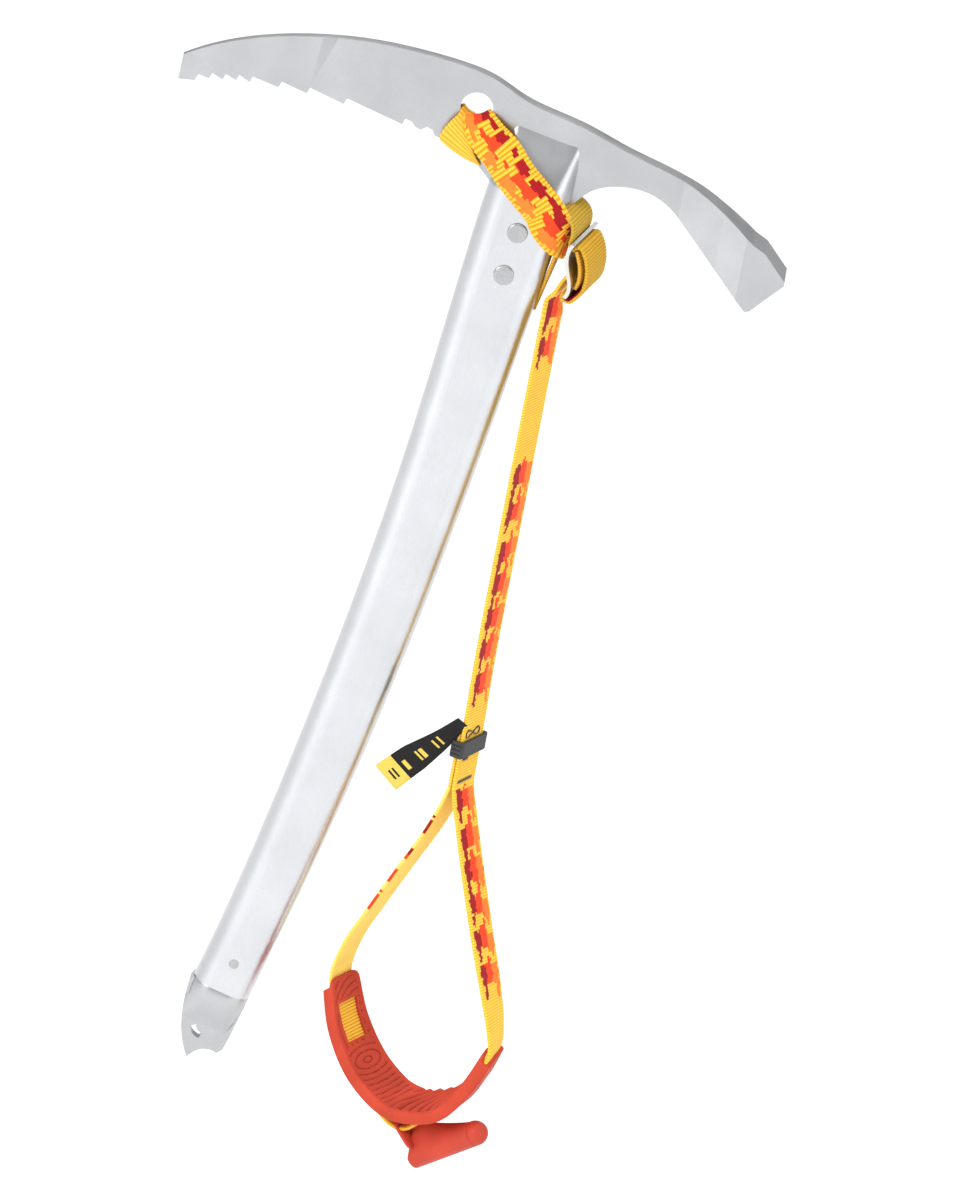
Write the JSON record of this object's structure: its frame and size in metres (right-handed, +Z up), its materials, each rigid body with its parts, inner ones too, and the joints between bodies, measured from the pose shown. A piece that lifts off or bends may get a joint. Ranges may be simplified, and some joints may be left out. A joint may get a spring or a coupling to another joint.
{
  "type": "ice axe",
  "caption": "Ice axe with a toothed pick, a hammer head and a curved shaft, carrying a wrist leash with a sling, a slider buckle and a moulded cradle.",
  "frame": {"origin": "centre of the carabiner eye in the head, which the axe hangs from", "axes": "+Y along the eye, away from the decorated front; +X towards the hammer; +Z up, along the hanging leash"},
  "size_m": [0.2846, 0.0609, 0.5253],
  "materials": {
    "forged_steel": "pale satin",
    "shaft_alloy": "anodised satin",
    "rivet_steel": "satin",
    "buckle_steel": "polished",
    "webbing": "woven, yellow with red and orange blotches",
    "thread": "black thread",
    "label_cloth": "woven black with a yellow end",
    "keeper_plastic": "dark grey, moulded",
    "cradle_rubber": "red-orange, soft moulded",
    "grip_plastic": "red-orange, moulded"
  },
  "bodies": {
    "axe": {"head": "forged_steel", "head_rivets": "rivet_steel", "shaft": "shaft_alloy", "spike": "forged_steel", "spike_pin": "rivet_steel", "sling_lobe": "webbing", "sling_front_band": "webbing", "sling_back_band": "webbing", "sling_side_band": "webbing", "sling_tail": "webbing", "buckle": "buckle_steel", "bight": "webbing", "bight_fold": "webbing", "strap_lift": "webbing"},
    "leash": {"main_strap": "webbing", "return_layer": "webbing", "strap_stitches": "thread"},
    "keeper": {"keeper": "keeper_plastic"},
    "label": {"label": "label_cloth"},
    "wrist_loop": {"right_strand": "webbing", "left_strand": "webbing", "cradle": "cradle_rubber", "cradle_webbing": "webbing", "toggle_loop": "webbing"},
    "toggle": {"toggle": "grip_plastic", "toggle_cap": "grip_plastic", "toggle_tab": "grip_plastic"}
  },
  "joints": [
    {"name": "leash_swing", "type": "hinge", "parent": "axe", "child": "leash", "pos_m": [0.0505, -0.0021, -0.084], "axis": [-0.4226, -0.9063, 0], "range_deg": [-1, 70]},
    {"name": "keeper_slide", "type": "slide", "parent": "leash", "child": "keeper", "axis": [0, 0, -1], "range_m": [0, 0.012]},
    {"name": "label_flap", "type": "hinge", "parent": "leash", "child": "label", "pos_m": [0.043, -0.0116, -0.29], "axis": [0, 0, 1], "range_deg": [-60, 60]},
    {"name": "wrist_loop_swing", "type": "hinge", "parent": "leash", "child": "wrist_loop", "pos_m": [0.0497, -0.0017, -0.3191], "axis": [-0.4226, -0.9063, 0], "range_deg": [-8, 45]},
    {"name": "toggle_tilt", "type": "hinge", "parent": "wrist_loop", "child": "toggle", "pos_m": [0.05325, -0.00338, -0.4863], "axis": [0.4226, 0.9063, 0], "range_deg": [0, 45]}
  ]
}
